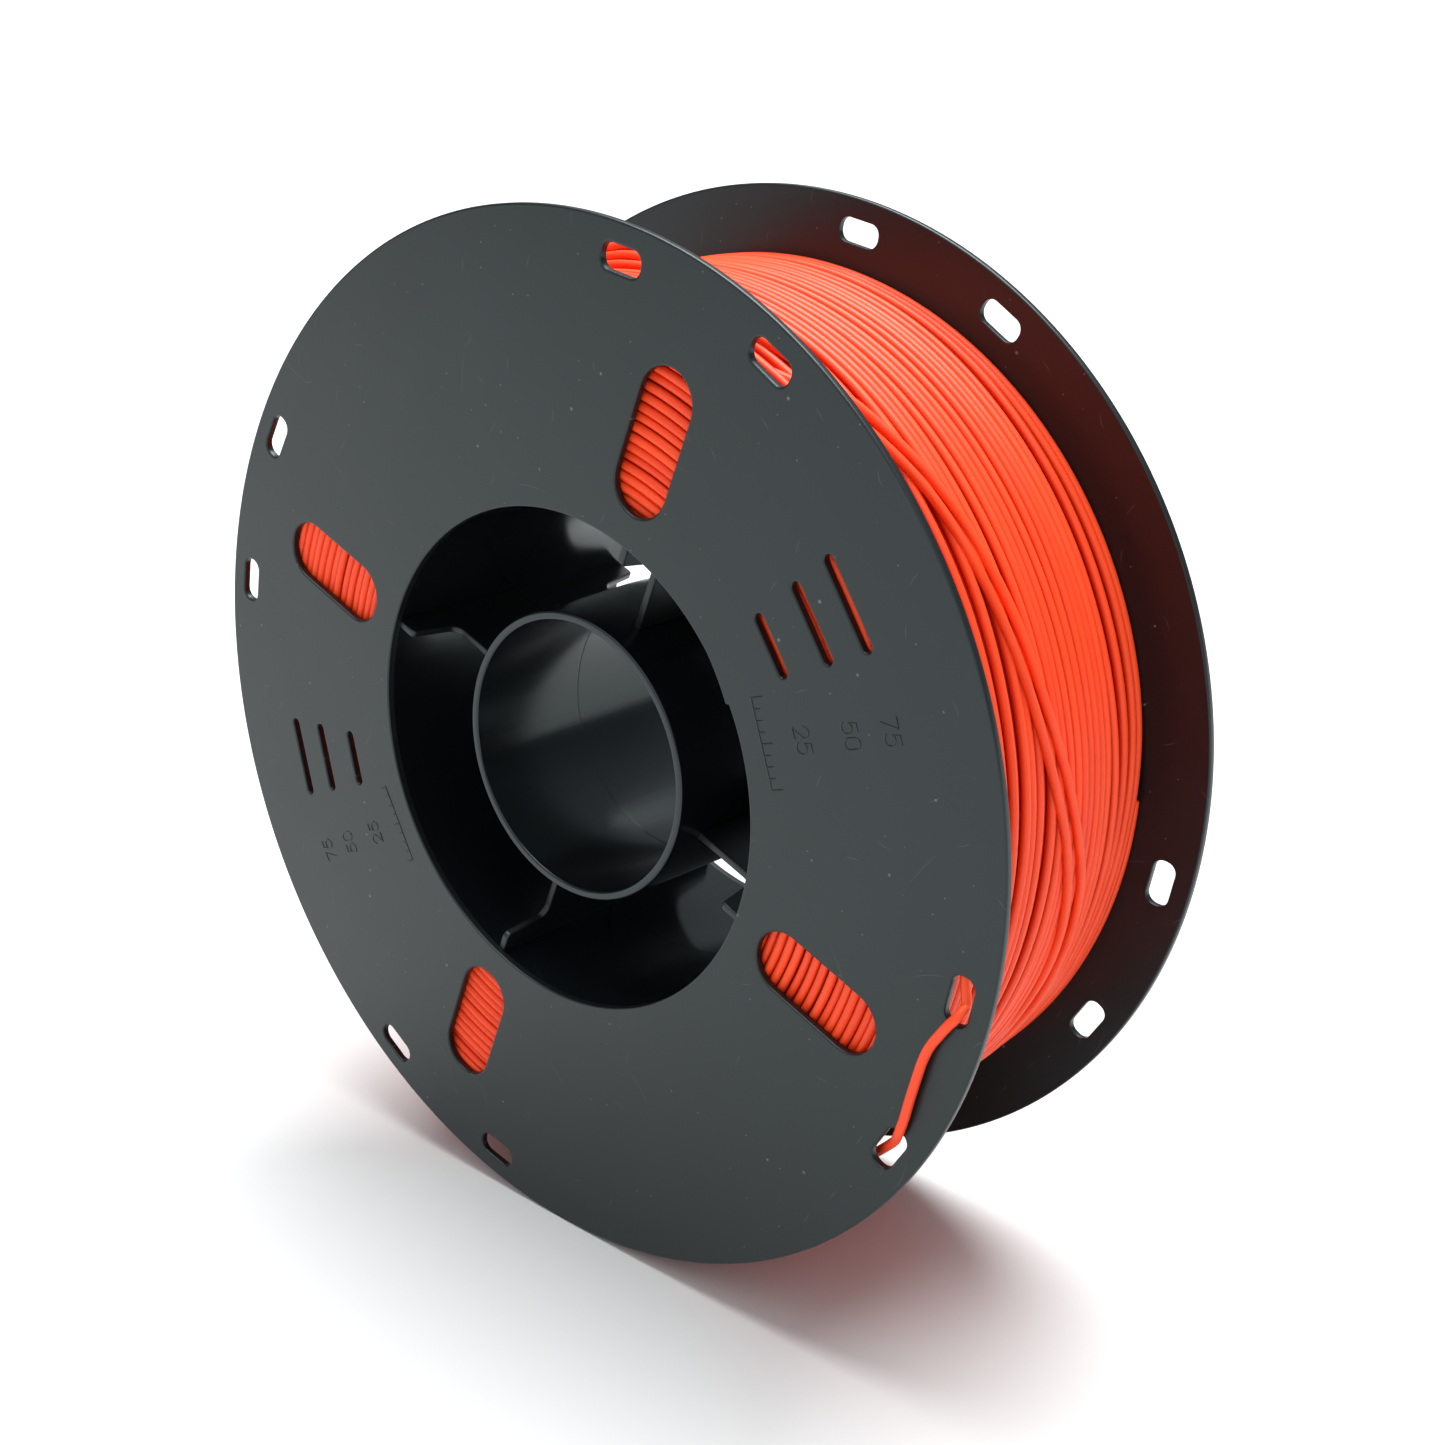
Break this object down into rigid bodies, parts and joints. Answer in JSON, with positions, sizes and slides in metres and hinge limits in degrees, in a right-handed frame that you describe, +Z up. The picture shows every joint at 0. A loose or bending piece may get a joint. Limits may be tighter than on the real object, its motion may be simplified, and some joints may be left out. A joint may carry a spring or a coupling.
{
  "type": "filament spool",
  "caption": "Flanged spool of round plastic filament for a desktop 3D printer, with a ribbed hub tube, slotted flanges and the filament's end threaded through the rim.",
  "frame": {"origin": "on the axis of the bore, midway between the two flanges", "axes": "+Y along the bore axis towards the far flange, +Z up as the spool stands on its rims, +X to the right seen from the near flange, which carries the filament's free end"},
  "size_m": [0.2, 0.0665, 0.2],
  "materials": {
    "near_moulding": "satin charcoal-black moulded plastic",
    "far_moulding": "satin charcoal-black moulded plastic",
    "filament": "extruded orange-red filament with a soft sheen"
  },
  "bodies": {
    "root": {"near_flange": "near_moulding", "near_drum": "near_moulding", "near_hub_tube": "near_moulding", "near_rib_1": "near_moulding", "near_rib_2": "near_moulding", "near_rib_3": "near_moulding", "near_rib_4": "near_moulding", "far_flange": "far_moulding", "far_drum": "far_moulding", "far_hub_tube": "far_moulding", "far_rib_1": "far_moulding", "far_rib_2": "far_moulding", "far_rib_3": "far_moulding", "far_rib_4": "far_moulding", "filament_winding": "filament", "filament_tail": "filament"}
  },
  "joints": []
}
